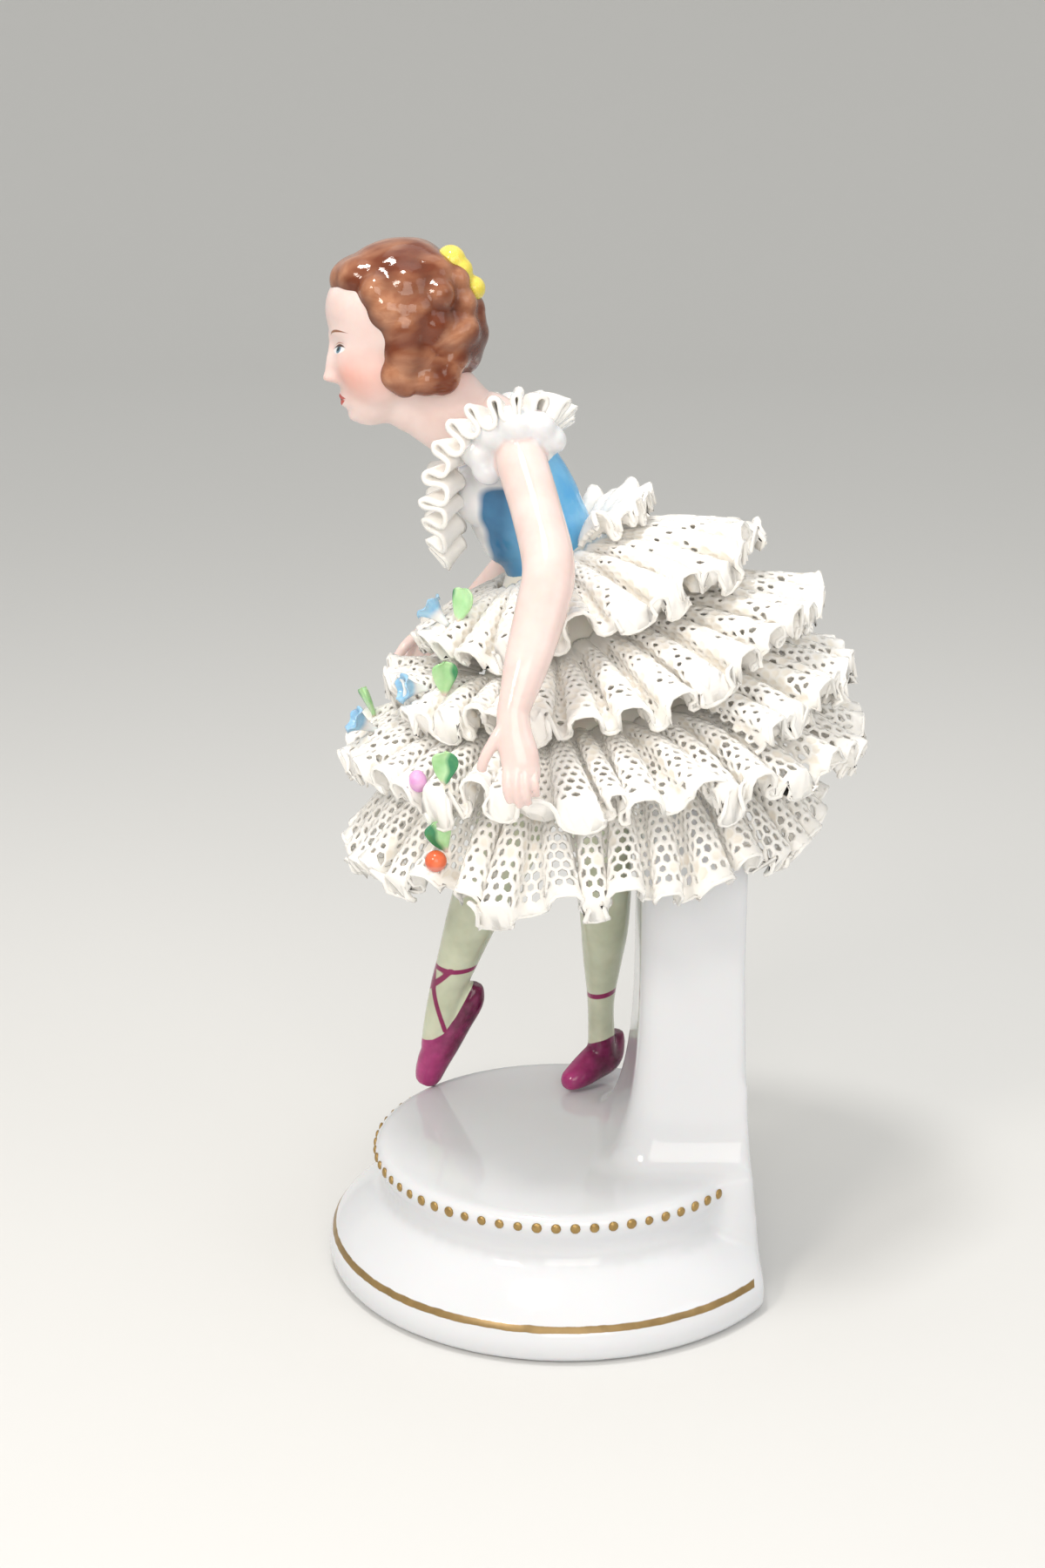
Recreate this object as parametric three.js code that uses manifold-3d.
// A porcelain dancer in a lace skirt, bowing forward on a stepped round plinth.
// A broad pillar, cast in one with the plinth, rises at its flat back and carries the skirt.
// Millimetres, +Z up. The dancer faces -X and her left side faces -Y.
// The origin is the centre of the plinth's round foot, on its underside.

import * as THREE from "three";
import Module from "manifold-3d";
import { mergeVertices } from "three/addons/utils/BufferGeometryUtils.js";

const wasm = await Module();
wasm.setup();

// Driving sizes of the plinth.
const PLINTH_HEIGHT = 22.2;
const DISC_RADIUS = 33.6;
const FOOT_LEDGE = 8.3;
const FLAT_BACK = 30.6;
const PILLAR_WIDTH = 26.8;
const PLINTH_SIDES = 44;

// Driving sizes of the dancer and her lace.
const DANCER_HEIGHT = 155.8;
const LACE_THICKNESS = 1.1;
const SEAM_GAP = 0.3;
const LEG_GAP = 0.9;

// The dancer's pose is drawn on a figure 155.8 units high that stands at the plinth's top.
const DRAWN_HEIGHT = 155.8;
const SHARE = DANCER_HEIGHT / DRAWN_HEIGHT;
const SIDE_PLANE = 7;
const BACK_LEG_BACK = 12.1;

// The plinth's moulding is drawn on a foot 22.2 high with a ledge 8.3 wide.
const DRAWN_PLINTH = 22.2;
const DRAWN_LEDGE = 8.3;

const { PI, cos, sin, max, min } = Math;
const vec = (x, y, z) => new THREE.Vector3(x, y, z);

// A point of the pose: x forward or back, y across, z above the plinth's top.
function pose(x, y, z) {
  return vec(x * SHARE, y * SHARE, PLINTH_HEIGHT + z * SHARE);
}

// Closed-mesh helpers

function meshFrom(points, faces) {
  const geometry = new THREE.BufferGeometry();
  const flat = points.flatMap((p) => [p.x, p.y, p.z]);
  geometry.setAttribute("position", new THREE.Float32BufferAttribute(flat, 3));
  geometry.setIndex(faces.flat());
  return geometry;
}

// Joins rings of equal length into a closed skin, with a fan over each end.
function skin(rings) {
  const n = rings[0].length;
  const points = rings.flat();
  const faces = [];
  for (let r = 0; r < rings.length - 1; r++) {
    for (let i = 0; i < n; i++) {
      const a = r * n + i;
      const b = r * n + ((i + 1) % n);
      faces.push([a, b, b + n], [a, b + n, a + n]);
    }
  }
  const last = (rings.length - 1) * n;
  const first = points.length;
  points.push(middle(rings[0]), middle(rings[rings.length - 1]));
  for (let i = 0; i < n; i++) {
    const j = (i + 1) % n;
    faces.push([first, j, i], [first + 1, last + i, last + j]);
  }
  return facingOut(points, faces);
}

function middle(ring) {
  const sum = vec(0, 0, 0);
  ring.forEach((p) => sum.add(p));
  return sum.divideScalar(ring.length);
}

// Turns all faces over if the skin encloses a negative volume.
function facingOut(points, faces) {
  let volume = 0;
  for (const [a, b, c] of faces) {
    volume += points[a].dot(vec(0, 0, 0).crossVectors(points[b], points[c]));
  }
  return meshFrom(points, volume < 0 ? faces.map(([a, b, c]) => [a, c, b]) : faces);
}

function solid(geometry) {
  const bare = geometry.clone();
  bare.deleteAttribute("normal");
  bare.deleteAttribute("uv");
  const merged = mergeVertices(bare, 1e-4);
  return new wasm.Manifold(
    new wasm.Mesh({
      numProp: 3,
      vertProperties: new Float32Array(merged.attributes.position.array),
      triVerts: new Uint32Array(merged.index.array),
    }),
  );
}

// Joins closed meshes into one body, with any pocket left between them filled.
function joined(geometries) {
  const whole = geometries.map(solid).reduce((sum, piece) => sum.add(piece));
  return whole.decompose().find((body) => body.volume() > 0);
}

function geometryOf(manifold) {
  const mesh = manifold.getMesh();
  const geometry = new THREE.BufferGeometry();
  geometry.setAttribute("position", new THREE.BufferAttribute(mesh.vertProperties, 3));
  geometry.setIndex(new THREE.BufferAttribute(mesh.triVerts, 1));
  return geometry;
}

// A limb: rings of oval section along a line of stations [point, half depth, half width].
// `across` is the direction that the half width is measured in.
function limb(stations, sides, across = vec(0, 1, 0)) {
  const tips = stations.length - 1;
  const rings = stations.map(([point, depth, width], i) => {
    const from = stations[max(i - 1, 0)][0];
    const to = stations[min(i + 1, tips)][0];
    const along = to.clone().sub(from).normalize();
    const side = across.clone().addScaledVector(along, -across.dot(along)).normalize();
    const front = vec(0, 0, 0).crossVectors(along, side);
    return Array.from({ length: sides }, (_, k) => {
      const turn = (2 * PI * k) / sides;
      return point
        .clone()
        .addScaledVector(front, depth * SHARE * cos(turn))
        .addScaledVector(side, width * SHARE * sin(turn));
    });
  });
  return skin(rings);
}

function ball(centre, rx, ry, rz, across = 10, up = 7, turn = vec(0, 0, 0)) {
  const shape = new THREE.SphereGeometry(1, across, up);
  shape.scale(rx * SHARE, ry * SHARE, rz * SHARE);
  shape.rotateX(turn.x).rotateY(turn.y).rotateZ(turn.z);
  return shape.translate(centre.x, centre.y, centre.z);
}

// Gathered lace

// A flounce hangs between two ovals round the dancer, its root and its hem.
// x, across and wide place and size an oval; height is measured from the plinth's top;
// slope tips it along x and droop lowers its two sides.
const FLOUNCES = {
  lace_flounce_1: {
    root: { x: -2.2, height: 102.4, across: 9.6, wide: 9.6, slope: 0.55, droop: 0 },
    hem: { x: 3.9, height: 96.8, across: 28.2, wide: 26, slope: 0.335, droop: 2.2 },
    flutes: 22,
    bulge: 1.2,
    depth: 2.3,
  },
  lace_flounce_2: {
    root: { x: 0.8, height: 90.6, across: 15.5, wide: 14.5, slope: 0.54, droop: 0.5 },
    hem: { x: 6.7, height: 87.8, across: 36.9, wide: 33.5, slope: 0.21, droop: 6.4 },
    flutes: 28,
    bulge: 1.5,
    depth: 2.4,
  },
  lace_flounce_3: {
    root: { x: 3.2, height: 78.1, across: 22, wide: 20.5, slope: 0.135, droop: 0.7 },
    hem: { x: 7.4, height: 70.0, across: 44.4, wide: 40, slope: 0.05, droop: 0.6 },
    flutes: 32,
    bulge: 2.6,
    depth: 2.6,
  },
  lace_flounce_4: {
    root: { x: 3.6, height: 70.0, across: 26, wide: 24, slope: 0.06, droop: 0 },
    hem: { x: 3.6, height: 54.8, across: 40.2, wide: 38, slope: 0.08, droop: 2.0 },
    flutes: 30,
    bulge: 2.6,
    depth: 2.7,
  },
  lace_bustle_flounce: {
    root: { x: 2.2, height: 84.6, across: 19, wide: 17.5, slope: 0.32, droop: 3.5 },
    hem: { x: 6.7, height: 80.0, across: 42.2, wide: 37, slope: 0.1, droop: 4.6 },
    flutes: 11,
    sweep: [-0.32 * PI, 0.32 * PI],
    bulge: 2.0,
    depth: 2.0,
  },
  lace_waist_frill: {
    root: { x: -1.2, height: 106.4, across: 9.4, wide: 9.4, slope: 0.45, droop: 0 },
    hem: { x: 0.4, height: 107.0, across: 15.4, wide: 15.0, slope: 0.4, droop: 2 },
    flutes: 6,
    sweep: [-0.33 * PI, 0.33 * PI],
    bulge: 0.4,
    depth: 1.3,
  },
};

function ringPoint(ring, turn, inset = 0) {
  const grow = 1 - inset / (SHARE * ring.across);
  const height = ring.height + ring.slope * ring.across * cos(turn) - ring.droop * sin(turn) ** 2;
  return pose(
    ring.x + ring.across * grow * cos(turn),
    SIDE_PLANE + ring.wide * grow * sin(turn),
    height,
  );
}

// The neckline frill stands between two closed curves, on the bodice and in the air.
// The points run from the back over the near shoulder to the breast; the far side mirrors them.
const NECKLINE = [
  [-3.0, 6.5, 128.8],
  [-3.8, 0.6, 130.4],
  [-8.4, -3.4, 130.0],
  [-13.4, -3.6, 127.8],
  [-18.8, -1.2, 120.4],
  [-19.2, 1.6, 111.5],
  [-18.2, 6.5, 104.6],
];
const FRILL_EDGE = [
  [-0.6, 6.5, 123.4],
  [-0.8, -3.0, 128.0],
  [-8.4, -9.6, 129.8],
  [-16.6, -8.0, 126.6],
  [-21.6, -5.4, 118.0],
  [-22.6, -1.0, 108.6],
  [-20.4, 6.5, 102.8],
];

function closedCurve(points, middlePlane = 6.5) {
  const near = points.map(([x, y, z]) => pose(x, y, z));
  const far = points.slice(1, -1).map(([x, y, z]) => pose(x, 2 * middlePlane - y, z));
  return new THREE.CatmullRomCurve3([...near, ...far.reverse()], true, "catmullrom", 0.5);
}

const necklineCurve = closedCurve(NECKLINE);
const frillCurve = closedCurve(FRILL_EDGE);

const COLLAR = {
  sheet(turn, reach) {
    const along = (((turn / (2 * PI)) % 1) + 1) % 1;
    return necklineCurve.getPoint(along).lerp(frillCurve.getPoint(along), reach);
  },
  flutes: 16,
  depth: 1.5,
};

// A point of a flounce's middle sheet before it is fluted.
// reach runs from 0 at the root to 1 at the hem.
function sheetPoint(flounce, turn, reach) {
  if (flounce.sheet) return flounce.sheet(turn, reach);
  const point = ringPoint(flounce.root, turn).lerp(ringPoint(flounce.hem, turn), reach);
  point.z += flounce.bulge * SHARE * sin(PI * reach) * (1 - 0.3 * reach);
  return point;
}

// The direction that faces out of the sheet at a point.
function sheetOut(flounce, turn, reach) {
  const step = 1e-3;
  const round = sheetPoint(flounce, turn + step, reach);
  round.sub(sheetPoint(flounce, turn - step, reach));
  const down = sheetPoint(flounce, turn, min(reach + step, 1));
  down.sub(sheetPoint(flounce, turn, max(reach - step, 0)));
  return vec(0, 0, 0).crossVectors(down, round).normalize();
}

// One flute's section, as four corners: two on its crest and two in its trough.
// Its loops widen a little towards the hem, as gathered lace does.
function fluteCorners(flounce, reach, pitch) {
  const depth = flounce.depth * SHARE * (0.12 + 0.88 * reach);
  const half = (0.17 + 0.06 * reach) * pitch;
  const wall = vec(pitch / 2 - 2 * half, -2 * depth, 0).normalize();
  const lean = -wall.y / (1 + wall.x);
  return [
    { along: -half, out: depth, lean: -lean },
    { along: half, out: depth, lean },
    { along: pitch / 2 - half, out: -depth, lean },
    { along: pitch / 2 + half, out: -depth, lean: -lean },
  ];
}

const REACHES = [0, 0.5, 1];
const FRILL_REACHES = [0, 1];

// A gathered strip of lace: an outer and an inner skin through the corners of all its flutes.
function fluted(flounce) {
  const [start, end] = flounce.sweep ?? [0, 2 * PI];
  const stepTurn = (end - start) / flounce.flutes;
  const columns = [];
  for (let flute = 0; flute < flounce.flutes; flute++) {
    for (let corner = 0; corner < 4; corner++) {
      const outer = [];
      const inner = [];
      for (const reach of flounce.bulge > 1 ? REACHES : FRILL_REACHES) {
        const turn = start + stepTurn * flute;
        const pitch = sheetPoint(flounce, turn, reach).distanceTo(
          sheetPoint(flounce, turn + stepTurn, reach),
        );
        const { along, out, lean } = fluteCorners(flounce, reach, pitch)[corner];
        for (const half of [LACE_THICKNESS / 2, -LACE_THICKNESS / 2]) {
          const at = turn + (stepTurn * (along + lean * half)) / pitch;
          const facing = sheetOut(flounce, at, reach);
          const point = sheetPoint(flounce, at, reach).addScaledVector(facing, out + half);
          (half > 0 ? outer : inner).push(point);
        }
      }
      columns.push([...outer, ...inner.reverse()]);
    }
  }
  return flounce.sweep ? skin(columns) : torus(columns);
}

// Joins sections into a band that closes on itself.
function torus(sections) {
  const n = sections[0].length;
  const count = sections.length;
  const faces = [];
  for (let s = 0; s < count; s++) {
    const next = ((s + 1) % count) * n;
    for (let i = 0; i < n; i++) {
      const j = (i + 1) % n;
      faces.push([s * n + i, next + i, next + j], [s * n + i, next + j, s * n + j]);
    }
  }
  return facingOut(sections.flat(), faces);
}

// Plinth and pillar

const FOOT_RADIUS = DISC_RADIUS + FOOT_LEDGE;

// How far the flat back stands out behind its upper part, from the ground up: [height, reach].
const BACK_FLARE = [
  [0, 3.7],
  [0.18, 3.6],
  [0.54, 2.9],
  [0.92, 1.9],
  [1.27, 1.3],
  [1.8, 0.7],
  [2.6, 0],
];

// The round plinth's outline: [radius, height], from the underside's middle to the top's.
function plinthOutline() {
  const ledge = FOOT_LEDGE / DRAWN_LEDGE;
  const rise = PLINTH_HEIGHT / DRAWN_PLINTH;
  return [
    [0, 0],
    [FOOT_RADIUS - 1.3, 0],
    [FOOT_RADIUS - 0.2, 1.4 * rise],
    [FOOT_RADIUS, 3.8 * rise],
    [FOOT_RADIUS - 0.75 * ledge, 6.16 * rise],
    [FOOT_RADIUS - 2.8 * ledge, 8.2 * rise],
    [FOOT_RADIUS - 5.4 * ledge, 10.1 * rise],
    [DISC_RADIUS, 12.2 * rise],
    [DISC_RADIUS - 1.6 * ledge, 14.4 * rise],
    [DISC_RADIUS - 1.6 * ledge, 16.8 * rise],
    [DISC_RADIUS - 0.4 * ledge, 18.8 * rise],
    [DISC_RADIUS, 20.4 * rise],
    [DISC_RADIUS - 0.5 * ledge, 21.7 * rise],
    [DISC_RADIUS - 1.7 * ledge, PLINTH_HEIGHT],
    [0, PLINTH_HEIGHT],
  ];
}

// A level section of the pillar: a rectangle with rounded corners, front and back in x.
function pillarSection(front, back, halfWidth, height, round) {
  const corners = [
    [back - round, halfWidth - round, 0],
    [front + round, halfWidth - round, 1],
    [front + round, round - halfWidth, 2],
    [back - round, round - halfWidth, 3],
  ];
  return corners.flatMap(([x, y, quarter]) =>
    [0, 0.5, 1].map((part) => {
      const turn = ((quarter + part) * PI) / 2;
      return vec(x + round * cos(turn), y + round * sin(turn), height);
    }),
  );
}

// The pillar stands on the ground as the plinth's flat back, and its narrowed head is
// hidden in the skirt. Each section: [before the front, beyond the back, beyond the half
// width, height above the plinth's top, corner].
const PILLAR_SECTIONS = [
  [0, 4, -1.4, -DRAWN_PLINTH, 2],
  [0, 4, -1.4, -6, 3],
  [0, 4, -0.6, 0, 4],
  [0, 4, 0, 9, 4],
  [0, 4, 0, 55, 4],
  [0, -5.5, -3.2, 65.6, 3],
];

// The sweep round the pillar's foot, where its front and sides run out into the plinth's top.
const SWEEP_SECTIONS = [
  [8.0, -2, 5.6, -3, 4],
  [6.6, -2, 4.2, 0.1, 4],
  [4.4, -2, 2.6, 1.4, 4],
  [2.4, -2, 1.2, 4.2, 4],
  [1.0, -2, 0.3, 9, 4],
  [0.3, -2, -0.3, 17, 4],
  [-0.5, -2, -0.6, 34, 4],
];

function pillarSkin(sections) {
  const front = BACK_LEG_BACK * SHARE + LEG_GAP;
  const lower = PLINTH_HEIGHT / DRAWN_PLINTH;
  return skin(
    sections.map(([before, beyond, wide, height, round]) =>
      pillarSection(
        front - before,
        FLAT_BACK + beyond,
        PILLAR_WIDTH / 2 + wide,
        PLINTH_HEIGHT + height * (height < 0 ? lower : SHARE),
        round,
      ),
    ),
  );
}

function plinth() {
  const outline = plinthOutline().map(([r, z]) => new THREE.Vector2(r, z));
  const turned = new THREE.LatheGeometry(outline, PLINTH_SIDES);
  turned.rotateX(PI / 2);
  const top = DISC_RADIUS - 1.9;
  const within = new THREE.CylinderGeometry(top, top, 3 * DANCER_HEIGHT, PLINTH_SIDES);
  within.rotateX(PI / 2);
  const back = new THREE.Shape();
  back.moveTo(3 * FOOT_RADIUS, -PLINTH_HEIGHT);
  back.lineTo(FLAT_BACK + BACK_FLARE[0][1], -PLINTH_HEIGHT);
  BACK_FLARE.forEach(([up, out]) => back.lineTo(FLAT_BACK + out, up * PLINTH_HEIGHT));
  back.lineTo(FLAT_BACK, 2 * DANCER_HEIGHT);
  back.lineTo(3 * FOOT_RADIUS, 2 * DANCER_HEIGHT);
  const behind = new THREE.ExtrudeGeometry(back, { depth: 4 * FOOT_RADIUS, bevelEnabled: false });
  behind.rotateX(PI / 2);
  behind.translate(0, 2 * FOOT_RADIUS, 0);
  const sweep = solid(pillarSkin(SWEEP_SECTIONS)).intersect(solid(within));
  const post = solid(pillarSkin(PILLAR_SECTIONS));
  return geometryOf(solid(turned).add(post).add(sweep).subtract(solid(behind)));
}

// The dancer

// The moulded petticoat that the lace is set on, hidden by it.
function petticoat() {
  const f = FLOUNCES;
  const inset = SEAM_GAP + 0.9;
  const rings = [
    { ...f.lace_flounce_1.root, height: 105.5, inset: inset + 1.6 },
    { ...f.lace_flounce_1.root, inset },
    { ...f.lace_flounce_2.root, inset },
    { ...f.lace_bustle_flounce.root, inset: inset + 0.2 },
    { ...f.lace_flounce_3.root, inset },
    { ...f.lace_flounce_4.root, inset },
    { x: 3.6, height: 66.3, across: 24, wide: 22, slope: 0, droop: 0, inset: 0 },
  ];
  const sides = 18;
  return skin(
    rings.map((ring) =>
      Array.from({ length: sides }, (_, i) => ringPoint(ring, (2 * PI * i) / sides, ring.inset)),
    ),
  );
}

function torsoAndNeck() {
  const y = 6.5;
  return limb(
    [
      [pose(0, y, 95), 7, 7.5],
      [pose(-2.9, y, 104.4), 8.4, 8.0],
      [pose(-5.8, y, 109.3), 9.6, 8.8],
      [pose(-8.6, y, 115.3), 9.3, 9.4],
      [pose(-10.8, y, 121), 7.6, 9.6],
      [pose(-12.4, y, 124.8), 5.8, 8.0],
      [pose(-15.2, y - 0.3, 126.6), 5.2, 5.2],
      [pose(-19.0, y - 0.8, 128.0), 5.4, 4.8],
      [pose(-25.0, y - 1.4, 131), 6.0, 5.0],
    ],
    14,
  );
}

// The head is drawn in its own frame: forward, across and up from its middle, tipped forward.
const HEAD_TIP = (10 * PI) / 180;
const HEAD_MIDDLE = [-27.4, 5.2, 140.6];

function onHead(forward, across, up) {
  const [x, y, z] = HEAD_MIDDLE;
  return pose(
    x - forward * cos(HEAD_TIP) - up * sin(HEAD_TIP),
    y + across,
    z - forward * sin(HEAD_TIP) + up * cos(HEAD_TIP),
  );
}

function headBall(forward, across, up, rf, ra, ru, round = 12, rows = 8) {
  return ball(onHead(forward, across, up), rf, ra, ru, round, rows, vec(0, -HEAD_TIP, 0));
}

function head() {
  return [
    headBall(-0.5, 0, 1.6, 12.0, 10, 12.0, 10, 7),
    headBall(4.6, 0, -4.4, 8.4, 8.0, 10.2, 12, 9),
    headBall(7.0, 0, -11.6, 4.8, 4.4, 3.4, 10, 6),
    headBall(12.6, 0, -4.8, 1.9, 1.5, 2.4, 6, 5),
  ];
}

// Short waved hair: a cap with a row of curls round its lower edge, and a bow at the back.
function hair() {
  const parts = [
    headBall(-1.2, 0, 3.2, 13.0, 11.6, 11.6, 14, 10),
    headBall(6.0, 0, 8.2, 5.0, 7.6, 4.2, 10, 7),
    headBall(-9.2, 0, -2.6, 6.2, 8.8, 6.0, 12, 7),
  ];
  for (const side of [-1, 1]) {
    parts.push(
      headBall(3.0, side * 9.4, 1.0, 3.8, 2.8, 4.2, 8, 5),
      headBall(0.6, side * 9.8, -4.6, 4.4, 3.0, 4.2, 8, 5),
      headBall(-4.6, side * 8.6, -7.6, 4.2, 3.4, 3.4, 8, 5),
      headBall(-6.4, side * 9.4, -1.8, 4.4, 3.2, 4.4, 8, 5),
    );
  }
  return parts;
}

function bow() {
  return [
    headBall(-9.4, -2.0, 9.8, 2.2, 3.2, 2.7, 8, 6),
    headBall(-11.8, 2.4, 6.2, 2.0, 3.2, 2.3, 8, 6),
  ];
}

function finger(points, radius) {
  return limb(
    points.map(([x, y, z], i) => [pose(x, y, z), radius * (1 - 0.12 * i), radius * (1 - 0.12 * i)]),
    6,
    vec(1, 0, 0),
  );
}

function nearArm() {
  const x = vec(1, 0, 0);
  return [
    ball(pose(-7.6, -3.2, 123.8), 6.0, 4.6, 4.4, 10, 7),
    limb(
      [
        [pose(-8.4, 0, 126), 3.4, 3.6],
        [pose(-7.4, -6.4, 121), 3.8, 4.1],
        [pose(-4.8, -14, 113), 3.8, 4.1],
        [pose(-3.0, -21.4, 105.6), 3.9, 4.2],
        [pose(-4.2, -26, 99.6), 3.7, 4.1],
        [pose(-6.6, -31, 91.8), 3.1, 3.5],
        [pose(-8.6, -34.6, 84.4), 2.2, 2.7],
        [pose(-8.2, -36, 81), 1.9, 3.4],
        [pose(-7.2, -37, 77.6), 1.7, 3.7],
        [pose(-7.0, -37.3, 76), 1.2, 3.3],
      ],
      10,
      x,
    ),
    finger([[-10.8, -36.4, 82.4], [-12.8, -36.4, 79.4], [-13.6, -36.2, 76.8]], 1.15),
    finger([[-9.6, -37, 77.2], [-10.0, -37.8, 73.8], [-9.2, -37.4, 71.4]], 1.1),
    finger([[-7.9, -37.2, 77], [-8.0, -38.0, 73.4], [-7.2, -37.6, 71.2]], 1.1),
    finger([[-6.2, -37, 77.2], [-6.0, -38.0, 74.2], [-5.4, -37.6, 72.2]], 1.1),
    finger([[-4.7, -36.8, 78], [-4.2, -37.6, 75.4], [-4.0, -37.2, 73.6]], 1.0),
  ];
}

function farArm() {
  const x = vec(1, 0, 0);
  return [
    ball(pose(-7.6, 16.2, 123.8), 6.0, 4.6, 4.4, 10, 7),
    limb(
      [
        [pose(-8.4, 13, 126), 3.4, 3.6],
        [pose(-8.0, 19, 119), 3.8, 4.0],
        [pose(-6.6, 26.5, 108), 3.7, 4.0],
        [pose(-7.0, 33, 99.6), 3.8, 4.1],
        [pose(-11.2, 36.6, 94.2), 3.2, 3.4],
        [pose(-16.6, 39.2, 88.6), 2.5, 2.7],
        [pose(-21.6, 41.2, 84.4), 2.0, 2.4],
        [pose(-25.2, 42.2, 80.6), 1.8, 3.4],
        [pose(-26.6, 42.8, 76.4), 1.2, 3.4],
      ],
      10,
      x,
    ),
    finger([[-27.6, 40.6, 82], [-30, 39.8, 79.4], [-31, 39.4, 77]], 1.2),
    finger([[-28.6, 42.6, 77.6], [-30, 42.6, 74.4], [-30.4, 42, 72]], 1.15),
    finger([[-26.4, 42.8, 76.4], [-27.2, 43, 72.8], [-27.4, 42.4, 70.4]], 1.2),
    finger([[-24.4, 42.8, 77.2], [-24.8, 43, 73.8], [-24.8, 42.4, 71.6]], 1.1),
  ];
}

function legs() {
  return [
    limb(
      [
        [pose(-4, 12, 72), 8, 7.5],
        [pose(-10, 14, 50), 6.6, 6.2],
        [pose(-13.2, 15.6, 42), 5.8, 5.6],
        [pose(-15.6, 17, 35), 5.2, 5.0],
        [pose(-18.6, 19, 26), 4.2, 4.2],
        [pose(-20.6, 20.4, 20), 3.6, 3.6],
        [pose(-22.2, 21, 12), 3.2, 3.3],
      ],
      12,
    ),
    limb(
      [
        [pose(-15.6, 20.8, 18.4), 1.2, 1.6],
        [pose(-17.2, 20.9, 15.8), 2.8, 2.7],
        [pose(-20.6, 21.2, 11.0), 3.9, 3.2],
        [pose(-23.4, 21.6, 5.6), 3.2, 3.3],
        [pose(-24.8, 21.8, 1.8), 2.5, 2.6],
        [pose(-25.4, 21.9, -0.6), 1.9, 2.0],
      ],
      10,
    ),
    limb(
      [
        [pose(5, 11, 72), 7.4, 7.5],
        [pose(7.4, 12.4, 50), 5.2, 5.6],
        [pose(7.8, 13.6, 36), 4.5, 4.8],
        [pose(7.6, 16.6, 27), 3.6, 3.8],
        [pose(7.5, 19.6, 18.6), 2.6, 2.9],
        [pose(7.7, 22.2, 11.6), 2.5, 2.7],
        [pose(8.0, 23.4, 6), 2.8, 2.8],
      ],
      12,
    ),
    limb(
      [
        [pose(10.6, 26.6, 5.4), 1.8, 1.8],
        [pose(9.6, 25.4, 4.4), 3.2, 2.9],
        [pose(6.6, 22.4, 4.2), 3.6, 2.9],
        [pose(3.8, 19.8, 2.6), 2.6, 2.9],
        [pose(1.6, 18.0, 1.8), 1.9, 2.1],
        [pose(0.7, 17.3, 1.6), 1.0, 1.2],
      ],
      10,
      vec(1, -1, 0).normalize(),
    ),
  ];
}

function dancer() {
  const parts = [
    petticoat(),
    torsoAndNeck(),
    ...head(),
    ...hair(),
    ...bow(),
    ...nearArm(),
    ...farArm(),
    ...legs(),
  ];
  const wide = 3 * DANCER_HEIGHT;
  const floor = new THREE.BoxGeometry(wide, wide, 2 * PLINTH_HEIGHT);
  floor.translate(0, 0, SEAM_GAP);
  return geometryOf(joined(parts).subtract(solid(floor)));
}

// Flowers, leaves and buds, each set on the crest of a flute

// A crest's outer face at a share of the flounce's reach, and the directions there.
function crest(name, flute, reach) {
  const flounce = FLOUNCES[name];
  const turn = (2 * PI * flute) / flounce.flutes;
  const out = sheetOut(flounce, turn, reach);
  const height = flounce.depth * SHARE * (0.12 + 0.88 * reach) + LACE_THICKNESS / 2;
  const at = sheetPoint(flounce, turn, reach).addScaledVector(out, height);
  return { at, out };
}

// Turns a shape that is drawn standing on +Z so that it stands along `stand`, with its +X
// side towards `facing`, and sets it at a point.
function stood(points, at, stand, facing) {
  const z = stand.clone().normalize();
  const y = vec(0, 0, 0).crossVectors(z, facing).normalize();
  const x = vec(0, 0, 0).crossVectors(y, z);
  return points.map((p) =>
    at
      .clone()
      .addScaledVector(x, p.x * SHARE)
      .addScaledVector(y, p.y * SHARE)
      .addScaledVector(z, p.z * SHARE),
  );
}

// A trumpet-shaped flower with five petals.
function flower({ on, size = 2.9, stand, lift = 0 }) {
  const { at, out } = crest(...on);
  const direction = stand ? vec(...stand).normalize() : out;
  const ring = (radius, height, petals) =>
    Array.from({ length: 10 }, (_, i) => {
      const turn = (PI * i) / 5;
      const reach = radius * (i % 2 && petals ? 0.7 : 1);
      return vec(reach * cos(turn), reach * sin(turn), height);
    });
  const base = at.clone().addScaledVector(out, SEAM_GAP + (0.5 + lift) * SHARE);
  const rings = [
    ring(0.7, 0, false),
    ring(0.9, 0.35 * size, false),
    ring(size, 0.9 * size, true),
    ring(size * 0.92, 0.9 * size + 0.7, true),
    ring(0.5, 0.55 * size, false),
  ];
  return skin(rings.map((points) => stood(points, base, direction, vec(0, -1, 0.01))));
}

// A leaf folded along its midrib, standing on its stem end.
function leaf({ on, size = 6.2, width = 2.3, stand, facing, lift = 0 }) {
  const { at, out } = crest(...on);
  const base = at.clone().addScaledVector(out, SEAM_GAP + (0.5 + lift) * SHARE);
  const thick = 0.45;
  const section = (half, height) => [
    vec(0.45 * half + thick, -half, height),
    vec(thick, 0, height),
    vec(0.45 * half + thick, half, height),
    vec(0.45 * half - thick, half, height),
    vec(-thick, 0, height),
    vec(0.45 * half - thick, -half, height),
  ];
  const rings = [
    section(0.5, 0),
    section(width, 0.35 * size),
    section(width * 0.85, 0.65 * size),
    section(0.35, size),
  ];
  return skin(rings.map((points) => stood(points, base, vec(...stand), vec(...facing))));
}

function bud({ on, size, lift = 0 }) {
  const { at, out } = crest(...on);
  const centre = at.clone().addScaledVector(out, SEAM_GAP + (size + lift) * SHARE);
  return ball(centre, size, size, size, 10, 7);
}

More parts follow.
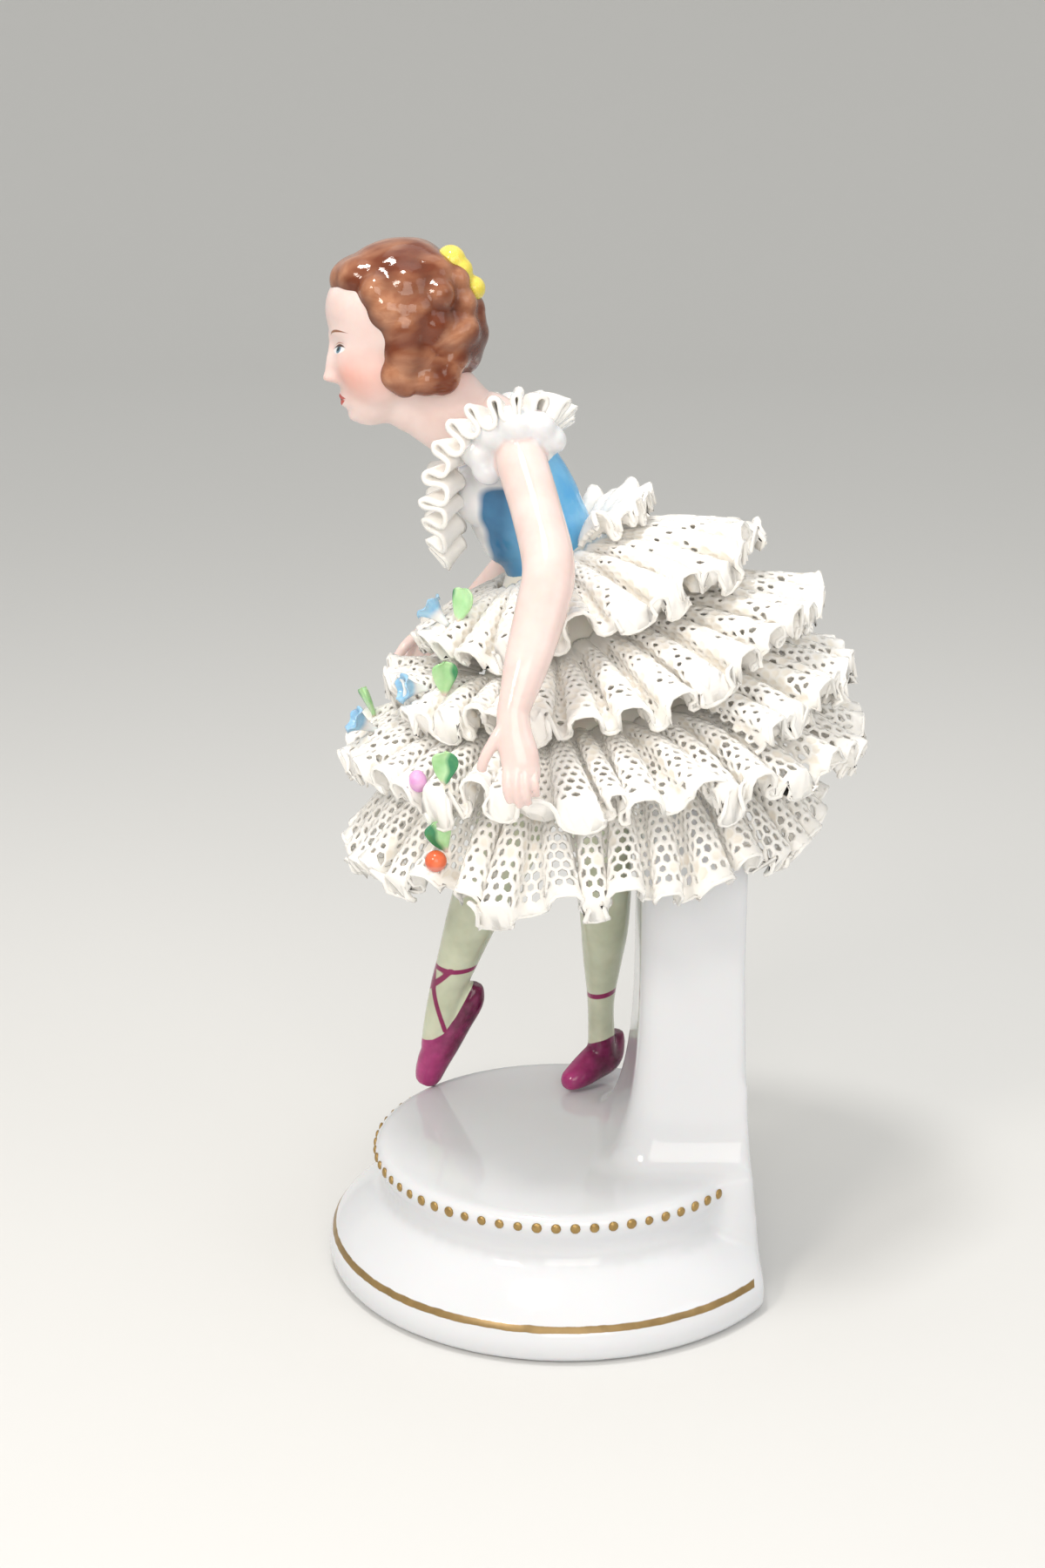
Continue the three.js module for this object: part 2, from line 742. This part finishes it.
const FLOWERS = {
  blue_flower_1: { on: ["lace_flounce_1", 11, 0.56], stand: [-0.35, -0.5, 0.8] },
  blue_flower_2: { on: ["lace_flounce_2", 15, 0.74], stand: [-0.35, -0.8, 0.45], lift: 0.4 },
  blue_flower_3: { on: ["lace_flounce_3", 16, 0.72], stand: [-0.45, -0.4, 0.8] },
};
const LEAVES = {
  leaf_1: { on: ["lace_flounce_1", 12, 0.48], stand: [0.4, -0.3, 0.75], facing: [-0.5, -0.8, 0] },
  leaf_2: { on: ["lace_flounce_2", 17, 0.8], stand: [0.1, -0.35, 0.9], facing: [0.5, -0.9, 0] },
  leaf_3: { on: ["lace_flounce_3", 17, 0.66], stand: [-0.2, -0.2, 1], facing: [-0.9, -0.4, 0] },
  leaf_4: { on: ["lace_flounce_3", 21, 0.86], stand: [0.1, -0.4, 0.9], facing: [-0.4, -0.9, 0] },
  leaf_5: { on: ["lace_flounce_4", 19, 0.72], stand: [0.2, -0.5, 0.8], facing: [-0.5, -0.8, 0] },
};
const BUDS = {
  pink_bud: { on: ["lace_flounce_3", 20, 0.97], size: 1.7 },
  orange_bud: { on: ["lace_flounce_4", 20, 0.82], size: 1.95 },
};

const group = new THREE.Group();

function addPiece(name, geometry, color, roughness) {
  const material = new THREE.MeshStandardMaterial({ color, roughness, metalness: 0 });
  const mesh = new THREE.Mesh(geometry, material);
  mesh.name = name;
  group.add(mesh);
}

addPiece("plinth", plinth(), "#f1f3f6", 0.15);
addPiece("dancer", dancer(), "#ead6cf", 0.2);
for (const [name, flounce] of Object.entries(FLOUNCES)) {
  addPiece(name, fluted(flounce), "#efe8da", 0.4);
}
addPiece("collar_frill", fluted(COLLAR), "#f0ece4", 0.35);

for (const [name, place] of Object.entries(FLOWERS)) {
  addPiece(name, flower(place), "#9ec9ea", 0.25);
}
for (const [name, place] of Object.entries(LEAVES)) {
  addPiece(name, leaf(place), "#5fa565", 0.25);
}
addPiece("pink_bud", bud(BUDS.pink_bud), "#d58ac0", 0.2);
addPiece("orange_bud", bud(BUDS.orange_bud), "#dc4a22", 0.2);

export default group;
